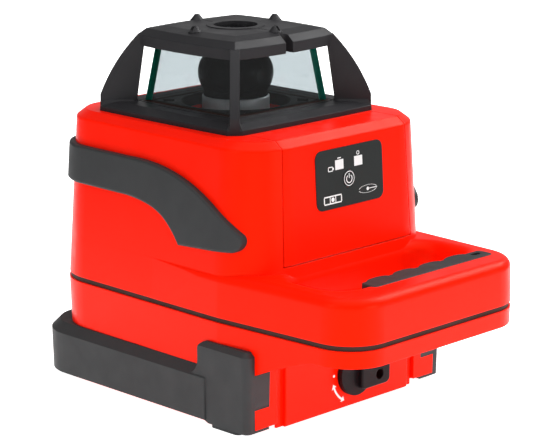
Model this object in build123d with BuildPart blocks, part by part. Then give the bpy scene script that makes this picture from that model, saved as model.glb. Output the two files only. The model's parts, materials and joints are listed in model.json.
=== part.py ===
from build123d import *
import os
from math import asin, atan2, cos, degrees, radians, sin, sqrt, tan

# Rotating laser level. Millimetres, +Z up, front (keypad, handle, battery door) towards -Y.
# The origin is on the vertical axis of the tripod thread and of the laser rotor, at the height of its feet.

os.makedirs("parts", exist_ok=True)

GAP = 0.3                      # running gap between a moving body and its neighbour
SEAM = 0.25                    # gap round a cover that sits in its own recess

# ---- housing ----
BASE_Z = 4.0                   # underside of the lower housing
SEAM_LOW_Z = 59.9              # top edge of the lower housing
SEAM_HIGH_Z = 62.8             # bottom edge of the upper housing
DECK_Z = 87.5                  # top of the handle deck
SHOULDER_Z = 154.3             # where the tower's top bevel starts
TOWER_TOP_Z = 158.3
SHOULDER_ROUND = 2.0
DRAFT = 3.6                    # draft of the tower walls, degrees
WALL = 3.0
FRONT_HALF = 70.6              # tower plan at the shoulder
REAR_HALF = 66.6
FRONT_Y = -85.2
REAR_Y = 77.0
FRONT_RADIUS = 26.0
REAR_RADIUS = 26.0
BEVEL_IN = 5.4                 # inset of the tower's top bevel
BEVEL_TAPER = degrees(atan2(BEVEL_IN, TOWER_TOP_Z - SHOULDER_Z))
DECK_HALF = 76.0               # deck plan at its widest, beside the tower's front corners
DECK_WIDE_Y = -62.0
DECK_FRONT_HALF = 70.4
DECK_FRONT_Y = -157.5
DECK_REAR_HALF = 72.6
DECK_REAR_Y = 82.8
DECK_REAR_RADIUS = 31.8
DECK_SIDE_RADIUS = 200.0
DECK_DRAFT = 1.0
FLARE_Y = -8.0                 # where the deck's sides start to stand out from the tower's
FLARE_HALF = 77.4              # and their half width where the deck is widest
FLARE_FRONT_Y = -200.0
DECK_RADIUS = 24.0
DECK_EDGE = 5.5                # rounding of the deck's outer top edge
BAR_LOW_Z = 50.5               # underside of the handle
GRIP_HOLE_HALF = 56.0          # finger opening
GRIP_HOLE_BACK_Y = -90.5
GRIP_HOLE_FRONT_Y = -133.0
GRIP_HOLE_RADIUS = 15.0
GRIP_HOLE_EDGE = 7.0
GASKET_IN = 1.0                # how far the gasket sits in from the housings' faces
BOSS_R = 4.5                   # screw columns, screw holes and the seats of the screws' heads
SCREW_HOLE_R = 1.5
SCREW_SEAT_R = 3.2
SCREW_SEAT_DEEP = 3.0
SCREW_GRIP = 12.0              # length of thread in the upper part
COLUMN_X = 50.0                # columns that carry the head's chassis
COLUMN_Y = 45.0
BOARD_POST_X = 38.0
BOARD_POST_Y = 32.0
BOARD_Z = 56.0
GUARD_SCREW = 40.0
GUARD_POST_TALL = 14.0
GUARD_POST_R = 4.0
GRIP_LEFT_X = -38.0            # rubber finger insert on the handle's inner side
GRIP_RIGHT_X = 60.0
GRIP_DEEP = 9.0
GRIP_LOW_Z = 66.0
GRIP_HIGH_Z = 87.9
GRIP_PITCH = 21.0
GRIP_BUMP = 3.2
WELL_R = 30.1                  # round opening that the head stands in
WELL_FLOOR_Z = 150.0
WELL_HOLE_R = 28.5

# half width and rear of the tower's outline at the seam, kept just inside it
TOWER_SPREAD = (SHOULDER_Z - SEAM_HIGH_Z) * tan(radians(DRAFT))
FLARE_INSIDE = 0.1
FLARE_REAR_HALF = REAR_HALF + TOWER_SPREAD - FLARE_INSIDE
FLARE_REAR_Y = REAR_Y + TOWER_SPREAD - FLARE_INSIDE
FLARE_SLOPE = (FRONT_HALF - REAR_HALF) / (REAR_Y - FRONT_Y)
FLARE_TOWER_HALF = FLARE_REAR_HALF + FLARE_SLOPE * (FLARE_REAR_Y - FLARE_Y)

# ---- front cover, keypad ----
PANEL_LOW_HALF = 51.0
PANEL_HIGH_HALF = 48.3
PANEL_LOW_Z = 91.0
PANEL_THICK = 2.4
SKIN = PANEL_THICK / cos(radians(DRAFT))
COVER_TOP_DEPTH = 24.0         # how far the cover reaches back over the tower's top
COVER_SEAM = 0.45
COVER_BEYOND = 5.0             # how far the shapes that cut the cover out reach past it
KEYPAD_HALF = 26.8
KEYPAD_LOW_Z = 116.4
KEYPAD_HIGH_Z = 149.2
KEYPAD_THICK = 0.8
KEYPAD_X = 1.8                 # the label and what it shows stand a little right of the middle
KEYPAD_RADIUS = 4.5
KEYPAD_OPENING = (48.0, 28.0)  # opening in the housing behind the label
KEYPAD_OPENING_UP = 1.5
BUTTON_X = 0.9
BUTTON_Z = 131.3
BUTTON_R = 4.7
BUTTON_TRAVEL = 0.6
BUTTON_PROUD = 0.7
STEM_R = 1.8
SWITCH_TALL = 2.6
WINDOW_XZ = [(-6.3, 140.0), (8.9, 140.0)]
WINDOW_WIDE = 6.6
WINDOW_TALL = 5.4
BOARD_GAP = 4.6                # from the cover's back to the keypad board

# ---- rubber guards ----
BUMPER_LOW_Z = 4.0
BUMPER_TOP_Z = 28.0
BUMPER_WALL_Z = 33.0
BUMPER_TALL_Z = 48.4
BUMPER_FOOT_Z = 2.4
BUMPER_FRONT_Y = -88.8
BUMPER_BEVEL = 2.6
BUMPER_CORNER = 4.5
BUMPER_INNER_X = 62.0          # inner edge of the tall corner blocks
BUMPER_TALL_Y = -50.0          # where the low bumper rises to the tall corner block
BUMPER_HALF = 80.0
BUMPER_REAR_HALF = 78.0
BUMPER_DRAFT = 1.5
BUMPER_REAR_Y = 91.0
BUMPER_RADIUS = 27.0
BAND_PROUD = 3.6
BAND_FOOT_Z = 96.0
BAND_TOP_Z = 140.0
BAND_LOW_Z = 117.9             # bottom and top edge along the rear half
BAND_HIGH_Z = 139.5
BAND_REAR_Y = 60.0             # everything behind this belongs to the band's rear corners and rear face
BAND_STEEP = 18.0              # the edges between the tower's walls are taller than this
BAND_ROUND = 1.5

# ---- rotor guard ----
RING_LOW_Z = 156.6
RING_BAND_Z = 161.0
RING_TOP_Z = 163.3
RING_CORNER = 57.2             # half side at the corners, which are cut off flat
RING_BULGE = 1.0               # how far each side bows out in the middle
RING_FACET = 77.0              # distance of the cut corners from the axis
RING_BEVEL = 8.0
RING_TAPER = degrees(atan2(RING_BEVEL, RING_TOP_Z - RING_BAND_Z))
PLATE_LOW_Z = 195.3
PLATE_BAND_Z = 201.3
PLATE_TOP_Z = 206.4
PLATE_CORNER = 39.2
PLATE_BULGE = 3.4
PLATE_BEVEL = 4.2
PLATE_FLAT_Z = 204.9
PLATE_TAPER = degrees(atan2(PLATE_BEVEL, PLATE_FLAT_Z - PLATE_BAND_Z))
FIN_THICK = 5.3
FIN_FOOT_Z = 160.4
FOOT_LONG = 21.0
FOOT_WIDE = 9.0
FOOT_TALL = 6.6
POCKET_DEEP = 4.5
POCKET_LONG = 6.5
POCKET_WIDE = 8.5
GROOVE_WIDE = 0.8
COLLAR = 4.0
SIGHT_R = 31.5
SIGHT_TALL = 3.0
SIGHT_SLIT = 1.5
HOLE_R = 12.6
NOTCH_WIDE = 5.6
GROOVE_HALF = 39.4             # fine groove round the glass
POCKET_R = 37.0                # small square pockets in the ring's corners
GLASS_LOW_HALF = 36.4
GLASS_HIGH_HALF = 31.8
GLASS_THICK = 3.6
GLASS_LOW_Z = 163.6
GLASS_HIGH_Z = 197.0

# ---- tilting laser head ----
PIVOT_Z = 130.0
ROTOR_R = 20.4                 # widest, at the bottom and at the top
ROTOR_FOOT_R = 17.2
ROTOR_TOP_R = 15.6
HUB_R = 18.1
CORE_R = 11.0
GIMBAL_IN = 30.0
GIMBAL_OUT = 35.0
PIN_R = 2.0
RUNNING = 0.05                 # radial clearance of a pin or shaft in its hole
ARM_X = 30.0                   # lever of the plunger that tilts the core, along +X
ARM_X_Z = 112.0
ARM_Y = 42.0                   # lever of the plunger that tilts the ring, along +Y
CHASSIS_Z = 96.0
CHASSIS_THICK = 4.0

# ---- batteries, latch ----
BAY_HALF = 54.0
BAY_LOW_Z = 9.0
BAY_HIGH_Z = 46.0
BAY_REAR_Y = 54.0
SPINE_HALF = 15.5              # solid spine in the bay, round the tripod thread
SPINE_FRONT_Y = -30.0
BASE_FRONT_Y = -84.6           # wall behind the battery door
FLANK_Y = -88.0                # front of the base on each side of the door
FLANK_TOP_Z = 35.0             # where the handle's underside starts to sweep forward
DOOR_FRONT_Y = -88.4
DOOR_HALF = 55.0
DOOR_FACE_HALF = 50.0
DOOR_FLANGE = 1.2
DOOR_LOW_Z = 0.8
DOOR_HIGH_Z = 47.4
CELL_R = 16.6
CELL_LONG = 61.0
CELL_CAP_R = 4.5
CELL_X = 35.0
CELL_Z = 27.6
KNOB_X = 4.5
KNOB_Z = 20.5
KNOB_R = 13.3
TONGUE_LONG = 14.0
TONGUE_Y = -81.5
TONGUE_THICK = 2.7
TRAY_HALF = BAY_HALF - GAP
TRAY_FRONT_Y = -78.0
TRAY_WALL = 1.8

# ---- tripod thread: 5/8"-11, modelled as its plain minor bore ----
THREAD_R = 6.9
INSERT_R = 13.5
INSERT_TALL = 14.0
PLATE_SCREW_R = 23.0


def four_sided(front_half, rear_half, front_y, rear_y, front_radius, rear_radius, grow=0.0):
    """Plan with straight sides and rounded corners, narrower or wider at the rear, grown by an offset."""
    with BuildSketch() as plan:
        with BuildLine():
            Polyline(
                (-front_half, front_y), (front_half, front_y), (rear_half, rear_y), (-rear_half, rear_y),
                close=True,
            )
        make_face()
        fillet(plan.vertices().group_by(Axis.Y)[0], front_radius)
        fillet(plan.vertices().group_by(Axis.Y)[-1], rear_radius)
        if grow:
            offset(amount=grow)
    return plan.sketch


def bowed_square(half, bulge, grow=0.0):
    """Square plan with sides that bow outward between sharp corners."""
    corners = [(-half, -half), (half, -half), (half, half), (-half, half)]
    middles = [(0, -half - bulge), (half + bulge, 0), (0, half + bulge), (-half - bulge, 0)]
    with BuildSketch() as plan:
        with BuildLine():
            for i in range(4):
                ThreePointArc(corners[i], middles[i], corners[(i + 1) % 4])
        make_face()
        if grow:
            offset(amount=grow, kind=Kind.INTERSECTION)
    return plan.sketch


def ring_plan(grow=0.0):
    """The guard ring's outline, with its corners cut off flat."""
    with BuildSketch() as plan:
        add(bowed_square(RING_CORNER, RING_BULGE, grow))
        Rectangle(2 * (RING_FACET + grow), 2 * (RING_FACET + grow), rotation=45, mode=Mode.INTERSECT)
    return plan.sketch


def tower_plan(height, grow=0.0):
    """The tower's outline at a height: the draft makes it wider towards the bottom."""
    spread = (SHOULDER_Z - height) * tan(radians(DRAFT))
    return four_sided(FRONT_HALF, REAR_HALF, FRONT_Y, REAR_Y, FRONT_RADIUS, REAR_RADIUS, spread + grow)


def deck_plan(grow=0.0):
    """The outline of the handle deck and of the joint between the two housings."""
    with BuildSketch() as plan:
        with BuildLine():
            Polyline(
                (-DECK_FRONT_HALF, DECK_FRONT_Y), (DECK_FRONT_HALF, DECK_FRONT_Y), (DECK_HALF, DECK_WIDE_Y),
                (DECK_REAR_HALF, DECK_REAR_Y), (-DECK_REAR_HALF, DECK_REAR_Y), (-DECK_HALF, DECK_WIDE_Y),
                close=True,
            )
        make_face()
        fillet(plan.vertices().group_by(Axis.Y)[0], DECK_RADIUS)
        fillet(plan.vertices().group_by(Axis.Y)[1], DECK_SIDE_RADIUS)
        fillet(plan.vertices().group_by(Axis.Y)[-1], DECK_REAR_RADIUS)
        if grow:
            offset(amount=grow)
    return plan.sketch


def flare_plan():
    """Limit of the deck's sides: just inside the tower's at the rear, standing out from them in front."""
    slope = (FLARE_HALF - FLARE_TOWER_HALF) / (FLARE_Y - DECK_WIDE_Y)
    front_half = FLARE_HALF + slope * (DECK_WIDE_Y - FLARE_FRONT_Y)
    with BuildSketch() as plan:
        with BuildLine():
            Polyline(
                (-front_half, FLARE_FRONT_Y), (front_half, FLARE_FRONT_Y), (FLARE_TOWER_HALF, FLARE_Y),
                (FLARE_REAR_HALF, FLARE_REAR_Y), (-FLARE_REAR_HALF, FLARE_REAR_Y),
                (-FLARE_TOWER_HALF, FLARE_Y), close=True,
            )
        make_face()
        fillet(plan.vertices().group_by(Axis.Y)[-1], DECK_REAR_RADIUS)
    return plan.sketch


def grip_hole_plan(grow=0.0):
    """The finger opening of the handle."""
    with BuildSketch() as plan:
        with BuildLine():
            Polyline(
                (-GRIP_HOLE_HALF, GRIP_HOLE_FRONT_Y), (GRIP_HOLE_HALF, GRIP_HOLE_FRONT_Y),
                (GRIP_HOLE_HALF, GRIP_HOLE_BACK_Y), (-GRIP_HOLE_HALF, GRIP_HOLE_BACK_Y), close=True,
            )
        make_face()
        fillet(plan.vertices(), GRIP_HOLE_RADIUS)
        if grow:
            offset(amount=grow)
    return plan.sketch


def wall_y(height):
    """The front face of the tower at a height."""
    return FRONT_Y - (SHOULDER_Z - height) * tan(radians(DRAFT))


def save(builder, name):
    """Names a finished piece and writes it to its own file."""
    builder.part.label = name
    export_step(builder.part, "parts/" + name + ".step")


# The front wall of the tower as a plane, its local x along +X and local y up the wall.
FACE = Plane(
    origin=(0, wall_y(BUTTON_Z), BUTTON_Z),
    x_dir=(1, 0, 0),
    z_dir=(0, -cos(radians(DRAFT)), sin(radians(DRAFT))),
)


def up_wall(height):
    """Distance up the front wall from the button's height."""
    return (height - BUTTON_Z) / cos(radians(DRAFT))


# ================= housings =================

HOUSING_SCREWS = [(-68.6, -38), (68.6, -38), (-64.2, 59.2), (64.2, 59.2)]
HANDLE_SCREWS = [(-55.5, -147), (55.5, -147)]

with BuildPart() as deck_shape:
    with BuildSketch(Plane.XY.offset(SEAM_HIGH_Z)):
        add(deck_plan())
    extrude(amount=DECK_Z - SEAM_HIGH_Z, taper=DECK_DRAFT)
    fillet(deck_shape.faces().sort_by(Axis.Z)[-1].edges(), DECK_EDGE)
    with BuildSketch(Plane.XY.offset(SEAM_HIGH_Z)):
        add(grip_hole_plan())
    extrude(amount=DECK_Z - SEAM_HIGH_Z, mode=Mode.SUBTRACT)
    fillet(deck_shape.faces().sort_by(Axis.Z)[-1].inner_wires()[0].edges(), GRIP_HOLE_EDGE)
    # the sides only stand out from the tower's in front of its middle
    with BuildSketch(Plane.XY.offset(SEAM_HIGH_Z)):
        add(flare_plan())
    extrude(amount=DECK_Z - SEAM_HIGH_Z, taper=DRAFT, mode=Mode.INTERSECT)

with BuildPart() as tower_shape:
    with BuildSketch(Plane.XY.offset(SEAM_HIGH_Z)):
        add(tower_plan(SEAM_HIGH_Z))
    extrude(amount=SHOULDER_Z - SEAM_HIGH_Z, taper=DRAFT)
    with BuildSketch(Plane.XY.offset(SHOULDER_Z)):
        add(tower_plan(SHOULDER_Z))
    extrude(amount=TOWER_TOP_Z - SHOULDER_Z, taper=BEVEL_TAPER)
    shoulder = tower_shape.edges().filter_by_position(Axis.Z, SHOULDER_Z - 0.1, SHOULDER_Z + 0.1)
    fillet(shoulder, SHOULDER_ROUND)


def cover_skin(grow=0.0):
    """The front cover: a skin of the tower's front wall that wraps over the bevel to the guard's ring."""
    low = up_wall(PANEL_LOW_Z) - grow
    high = up_wall(TOWER_TOP_Z + COVER_BEYOND)
    low_half = PANEL_LOW_HALF + grow
    high_half = PANEL_HIGH_HALF + grow
    inside_z = PANEL_LOW_Z - COVER_BEYOND
    with BuildPart() as skin:
        with BuildSketch(FACE.offset(-COVER_TOP_DEPTH - grow)):
            with BuildLine():
                Polyline(
                    (-low_half, low), (low_half, low), (high_half, high), (-high_half, high), close=True,
                )
            make_face()
        extrude(amount=COVER_TOP_DEPTH + grow + COVER_BEYOND)
        add(tower_shape.part, mode=Mode.INTERSECT)
        with BuildSketch(Plane.XY.offset(inside_z)):
            add(tower_plan(inside_z, -SKIN))
        extrude(amount=SHOULDER_Z - inside_z, taper=DRAFT, mode=Mode.SUBTRACT)
        with BuildSketch(Plane.XY.offset(SHOULDER_Z)):
            add(tower_plan(SHOULDER_Z, -SKIN))
        extrude(amount=TOWER_TOP_Z - SHOULDER_Z - PANEL_THICK, taper=BEVEL_TAPER, mode=Mode.SUBTRACT)
    return skin.part


with BuildPart() as grip_shape:
    with BuildSketch(Plane.XY.offset(GRIP_LOW_Z)):
        with Locations(((GRIP_LEFT_X + GRIP_RIGHT_X) / 2, GRIP_HOLE_FRONT_Y - GRIP_DEEP / 2 + 1)):
            RectangleRounded(GRIP_RIGHT_X - GRIP_LEFT_X, GRIP_DEEP + 2, 3.0)
        with Locations(*[(GRIP_LEFT_X + 14 + GRIP_PITCH * i, GRIP_HOLE_FRONT_Y + 1.5) for i in range(4)]):
            Ellipse(GRIP_PITCH / 2.4, GRIP_BUMP)
    extrude(amount=GRIP_HIGH_Z - GRIP_LOW_Z)
    fillet(grip_shape.faces().sort_by(Axis.Z)[-1].edges(), 0.8)

with BuildPart() as upper_housing:
    add(tower_shape.part)
    add(deck_shape.part)
    # hollow inside of the tower, and of the deck round the finger opening
    with BuildSketch(Plane.XY.offset(SEAM_HIGH_Z)):
        add(tower_plan(SEAM_HIGH_Z, -WALL))
    extrude(amount=SHOULDER_Z - SEAM_HIGH_Z, taper=DRAFT, mode=Mode.SUBTRACT)
    with BuildSketch(Plane.XY.offset(SEAM_HIGH_Z)):
        add(deck_plan(-WALL - 1.2))
        add(grip_hole_plan(GRIP_HOLE_EDGE + 2), mode=Mode.SUBTRACT)
        with Locations((0, 90)):
            Rectangle(200, 350, mode=Mode.SUBTRACT)
    extrude(amount=DECK_Z - SEAM_HIGH_Z - DECK_EDGE, mode=Mode.SUBTRACT)
    # well for the laser head, with a hole in its floor for the tilting core
    with BuildSketch(Plane.XY.offset(WELL_FLOOR_Z - WALL)):
        Circle(WELL_R + WALL)
    extrude(amount=TOWER_TOP_Z - WELL_FLOOR_Z + WALL / 2)
    with BuildSketch(Plane.XY.offset(WELL_FLOOR_Z)):
        Circle(WELL_R)
    extrude(amount=TOWER_TOP_Z - WELL_FLOOR_Z, mode=Mode.SUBTRACT)
    with BuildSketch(Plane.XY.offset(WELL_FLOOR_Z - WALL)):
        Circle(WELL_HOLE_R)
    extrude(amount=WALL, mode=Mode.SUBTRACT)
    # seat of the guard's square base ring
    with BuildSketch(Plane.XY.offset(RING_LOW_Z)):
        add(ring_plan(SEAM))
    extrude(amount=TOWER_TOP_Z - RING_LOW_Z, mode=Mode.SUBTRACT)
    # recess of the front cover, with the opening behind the keypad
    add(cover_skin(COVER_SEAM), mode=Mode.SUBTRACT)
    with BuildSketch(FACE.offset(-PANEL_THICK)):
        with Locations((KEYPAD_X, KEYPAD_OPENING_UP)):
            Rectangle(*KEYPAD_OPENING)
    extrude(amount=-8, mode=Mode.SUBTRACT)
    # pocket of the finger insert
    add(grip_shape.part, mode=Mode.SUBTRACT)
    # posts for the guard's screws and for the housing screws
    with BuildSketch(Plane.XY.offset(RING_LOW_Z - GUARD_POST_TALL)):
        with GridLocations(2 * GUARD_SCREW, 2 * GUARD_SCREW, 2, 2):
            Circle(GUARD_POST_R)
    extrude(amount=GUARD_POST_TALL)
    with BuildSketch(Plane.XY.offset(RING_LOW_Z - GUARD_POST_TALL)):
        with GridLocations(2 * GUARD_SCREW, 2 * GUARD_SCREW, 2, 2):
            Circle(SCREW_HOLE_R)
    extrude(amount=GUARD_POST_TALL, mode=Mode.SUBTRACT)
    with BuildSketch(Plane.XY.offset(SEAM_HIGH_Z)):
        with Locations(*HOUSING_SCREWS, *HANDLE_SCREWS):
            Circle(BOSS_R)
    extrude(amount=DECK_Z - SEAM_HIGH_Z - DECK_EDGE)
    with BuildSketch(Plane.XY.offset(SEAM_HIGH_Z)):
        with Locations(*HOUSING_SCREWS, *HANDLE_SCREWS):
            Circle(SCREW_HOLE_R)
    extrude(amount=SCREW_GRIP, mode=Mode.SUBTRACT)
save(upper_housing, "upper_housing")

with BuildPart() as handle_grip:
    add(grip_shape.part)
    # eyelet at the right end, for a hand strap
    with BuildSketch(Plane.XY.offset(GRIP_HIGH_Z)):
        with Locations((GRIP_RIGHT_X - 8, GRIP_HOLE_FRONT_Y - 2.5)):
            SlotOverall(7, 3.4)
    extrude(amount=-8, mode=Mode.SUBTRACT)
save(handle_grip, "handle_grip")

with BuildPart() as lower_shape:
    with BuildSketch(Plane.XY.offset(SEAM_LOW_Z)):
        add(deck_plan())
    extrude(amount=BASE_Z - SEAM_LOW_Z, taper=1.8)
    # the handle's underside sweeps up from the foot of the front wall
    with BuildSketch(Plane.YZ.offset(-100)):
        with BuildLine():
            Polyline(
                (-128, BAR_LOW_Z), (-200, BAR_LOW_Z), (-200, -10), (FLANK_Y, -10), (FLANK_Y, FLANK_TOP_Z),
            )
            ThreePointArc((FLANK_Y, FLANK_TOP_Z), (-107, 43.2), (-128, BAR_LOW_Z))
        make_face()
    extrude(amount=200, mode=Mode.SUBTRACT)
    with BuildSketch(Plane.XY.offset(-10)):
        with Locations((0, BASE_FRONT_Y - 60)):
            Rectangle(2 * DOOR_HALF + 2, 120)
    extrude(amount=10 + DOOR_HIGH_Z + 0.6, mode=Mode.SUBTRACT)
    with BuildSketch(Plane.XY.offset(BASE_Z)):
        add(grip_hole_plan())
    extrude(amount=SEAM_LOW_Z - BASE_Z, mode=Mode.SUBTRACT)

with BuildPart() as lower_housing:
    add(lower_shape.part)
    # hollow inside, then the battery bay's own box inside it
    with BuildSketch(Plane.XY.offset(BASE_Z + WALL)):
        add(deck_plan(-WALL - 2.0))
        with Locations((0, BASE_FRONT_Y + WALL - 100)):
            Rectangle(300, 200, mode=Mode.SUBTRACT)
    extrude(amount=SEAM_LOW_Z - BASE_Z, mode=Mode.SUBTRACT)
    with BuildSketch(Plane.XY.offset(BAR_LOW_Z + WALL)):
        add(deck_plan(-WALL - 1.2))
        add(grip_hole_plan(WALL), mode=Mode.SUBTRACT)
        with Locations((0, BASE_FRONT_Y - 8 + 150)):
            Rectangle(300, 300, mode=Mode.SUBTRACT)
    extrude(amount=SEAM_LOW_Z - BAR_LOW_Z, mode=Mode.SUBTRACT)
    with BuildSketch(Plane.XY.offset(BASE_Z)):
        with Locations((0, (BASE_FRONT_Y + BAY_REAR_Y + 2.5) / 2)):
            Rectangle(2 * BAY_HALF + 5, BAY_REAR_Y + 2.5 - BASE_FRONT_Y)
    extrude(amount=BAY_HIGH_Z + 2.5 - BASE_Z)
    with BuildSketch(Plane.XY.offset(BAY_LOW_Z)):
        with Locations((0, (BASE_FRONT_Y - 1 + BAY_REAR_Y) / 2)):
            Rectangle(2 * BAY_HALF, BAY_REAR_Y - BASE_FRONT_Y + 1)
        with Locations((0, (SPINE_FRONT_Y + BAY_REAR_Y) / 2)):
            Rectangle(2 * SPINE_HALF, BAY_REAR_Y - SPINE_FRONT_Y, mode=Mode.SUBTRACT)
    extrude(amount=BAY_HIGH_Z - BAY_LOW_Z, mode=Mode.SUBTRACT)
    # slot in the bay floor that the latch tongue turns into
    with BuildSketch(Plane.XY.offset(BAY_LOW_Z - 3.2)):
        with Locations((KNOB_X - 4, TONGUE_Y + TONGUE_THICK / 2)):
            Rectangle(2 * TONGUE_LONG, TONGUE_THICK + 2 * GAP + 0.4)
    extrude(amount=3.2, mode=Mode.SUBTRACT)
    # seat of the tripod thread
    with BuildSketch(Plane.XY.offset(BASE_Z)):
        Circle(INSERT_R)
    extrude(amount=INSERT_TALL, mode=Mode.SUBTRACT)
    with BuildSketch(Plane.XY.offset(BASE_Z)):
        with PolarLocations(PLATE_SCREW_R, 4, 45):
            Circle(SCREW_HOLE_R)
    extrude(amount=2.7, mode=Mode.SUBTRACT)
    # columns for the housing screws, and posts for the chassis and the main board
    with BuildSketch(Plane.XY.offset(BASE_Z)):
        with Locations(*HOUSING_SCREWS):
            Circle(BOSS_R)
    extrude(amount=SEAM_LOW_Z - BASE_Z)
    with BuildSketch(Plane.XY.offset(BAR_LOW_Z)):
        with Locations(*HANDLE_SCREWS):
            Circle(BOSS_R)
    extrude(amount=SEAM_LOW_Z - BAR_LOW_Z)
    with BuildSketch(Plane.XY.offset(BASE_Z)):
        with Locations(*HOUSING_SCREWS, *HANDLE_SCREWS):
            Circle(SCREW_HOLE_R)
    extrude(amount=SEAM_LOW_Z, mode=Mode.SUBTRACT)
    with BuildSketch(Plane.XY.offset(BASE_Z)):
        with Locations(*HOUSING_SCREWS):
            Circle(SCREW_SEAT_R)
    extrude(amount=SCREW_SEAT_DEEP, mode=Mode.SUBTRACT)
    with BuildSketch(Plane.XY.offset(BAR_LOW_Z)):
        with Locations(*HANDLE_SCREWS):
            Circle(SCREW_SEAT_R)
    extrude(amount=SCREW_SEAT_DEEP, mode=Mode.SUBTRACT)
    with BuildSketch(Plane.XY.offset(BAY_HIGH_Z + 1)):
        with GridLocations(2 * COLUMN_X, 2 * COLUMN_Y, 2, 2):
            Circle(5)
    extrude(amount=CHASSIS_Z - BAY_HIGH_Z - 1)
    with BuildSketch(Plane.XY.offset(BAY_HIGH_Z + 1)):
        with GridLocations(2 * BOARD_POST_X, 2 * BOARD_POST_Y, 2, 2):
            Circle(3)
    extrude(amount=BOARD_Z - BAY_HIGH_Z - 1)
    with BuildSketch(Plane.XY.offset(CHASSIS_Z - SCREW_GRIP)):
        with GridLocations(2 * COLUMN_X, 2 * COLUMN_Y, 2, 2):
            Circle(SCREW_HOLE_R)
    extrude(amount=SCREW_GRIP, mode=Mode.SUBTRACT)
save(lower_housing, "lower_housing")

with BuildPart() as housing_gasket:
    with BuildSketch(Plane.XY.offset(SEAM_LOW_Z)):
        add(deck_plan(-GASKET_IN))
        add(tower_plan(SEAM_HIGH_Z, -WALL - 1.5), mode=Mode.SUBTRACT)
        add(grip_hole_plan(GASKET_IN), mode=Mode.SUBTRACT)
        with Locations(*HOUSING_SCREWS, *HANDLE_SCREWS):
            Circle(1.6, mode=Mode.SUBTRACT)
    extrude(amount=SEAM_HIGH_Z - SEAM_LOW_Z)
save(housing_gasket, "housing_gasket")


def screws(name, places, head_r, head_z, head_tall, shank_r, end_z):
    """A set of pan-head screws, each its own solid, with a cross recess in the head."""
    up = 1 if end_z > head_z else -1
    with BuildPart() as group:
        with BuildSketch(Plane.XY.offset(head_z)):
            with Locations(*places):
                Circle(head_r)
        extrude(amount=up * head_tall)
        with BuildSketch(Plane.XY.offset(head_z + up * head_tall)):
            with Locations(*places):
                Circle(shank_r)
        extrude(amount=end_z - head_z - up * head_tall)
        with BuildSketch(Plane.XY.offset(head_z)):
            with Locations(*places):
                Rectangle(2 * head_r * 0.6, 0.7)
                Rectangle(0.7, 2 * head_r * 0.6)
        extrude(amount=up * head_tall * 0.5, mode=Mode.SUBTRACT)
    save(group, name)


screws("housing_screws", HOUSING_SCREWS, 2.9, BASE_Z + 0.5, 2.5, SCREW_HOLE_R, SEAM_HIGH_Z + SCREW_GRIP)
screws("handle_screws", HANDLE_SCREWS, 2.9, BAR_LOW_Z + 0.5, 2.5, SCREW_HOLE_R, SEAM_HIGH_Z + SCREW_GRIP)

# ================= rubber guards =================


def bumper_plan(front_y, corner):
    """The bumper's outline, from a given front edge to the rear."""
    return four_sided(BUMPER_HALF, BUMPER_REAR_HALF, front_y, BUMPER_REAR_Y, corner, BUMPER_RADIUS)


with BuildPart() as bumper_corners:
    with BuildSketch(Plane.XY.offset(BUMPER_TALL_Z - BUMPER_BEVEL)):
        add(bumper_plan(BUMPER_FRONT_Y, BUMPER_CORNER))
    extrude(amount=BUMPER_BEVEL, taper=45)
    with BuildSketch(Plane.XY.offset(BUMPER_TALL_Z - BUMPER_BEVEL)):
        add(bumper_plan(BUMPER_FRONT_Y, BUMPER_CORNER))
    extrude(amount=BUMPER_FOOT_Z - BUMPER_TALL_Z + BUMPER_BEVEL, taper=BUMPER_DRAFT)
    # seen from the side, the tall corner sweeps down into the low band and ends in a foot
    with BuildSketch(Plane.YZ.offset(-100)):
        with BuildLine():
            Polyline(
                (-40, BUMPER_TOP_Z), (-40, BUMPER_LOW_Z), (-53.5, BUMPER_LOW_Z), (-57.2, BUMPER_FOOT_Z),
                (-100, BUMPER_FOOT_Z), (-100, BUMPER_TALL_Z), (BUMPER_TALL_Y - 5, BUMPER_TALL_Z),
            )
            ThreePointArc(
                (BUMPER_TALL_Y - 5, BUMPER_TALL_Z), (BUMPER_TALL_Y - 1.5, BUMPER_TALL_Z - 1.5),
                (BUMPER_TALL_Y, BUMPER_TALL_Z - 5),
            )
            Line((BUMPER_TALL_Y, BUMPER_TALL_Z - 5), (BUMPER_TALL_Y, BUMPER_TOP_Z + 10))
            ThreePointArc(
                (BUMPER_TALL_Y, BUMPER_TOP_Z + 10), (BUMPER_TALL_Y + 2.9, BUMPER_TOP_Z + 2.9),
                (-40, BUMPER_TOP_Z),
            )
        make_face()
    extrude(amount=200, mode=Mode.INTERSECT)
    with BuildSketch(Plane.XY):
        with Locations((0, BUMPER_FRONT_Y)):
            Rectangle(2 * BUMPER_INNER_X, 120)
    extrude(amount=BUMPER_TALL_Z + 1, mode=Mode.SUBTRACT)

with BuildPart() as base_bumper:
    with BuildSketch(Plane.XY.offset(BUMPER_TOP_Z)):
        add(bumper_plan(BUMPER_TALL_Y - 6, 1.0))
    extrude(amount=BUMPER_LOW_Z - BUMPER_TOP_Z, taper=BUMPER_DRAFT)
    with BuildSketch(Plane.XY.offset(BUMPER_TOP_Z)):
        add(bumper_plan(BUMPER_TALL_Y - 6, 1.0))
    extrude(amount=BUMPER_WALL_Z - BUMPER_TOP_Z, taper=45)
    add(bumper_corners.part)
    # feet
    for side in (-1, 1):
        with BuildSketch(Plane.XY):
            with Locations((side * 70.5, -68.0)):
                RectangleRounded(13, 22, 3.0)
            with Locations((side * 61.0, 66.0)):
                RectangleRounded(14, 20, 3.0)
        extrude(amount=8)
    add(lower_shape.part, mode=Mode.SUBTRACT)
    with BuildSketch(Plane.XY.offset(-1)):
        with Locations((0, BUMPER_TALL_Y - 10)):
            Rectangle(2 * BUMPER_INNER_X, 100)
    extrude(amount=BASE_Z + 1, mode=Mode.SUBTRACT)
save(base_bumper, "base_bumper")

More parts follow.
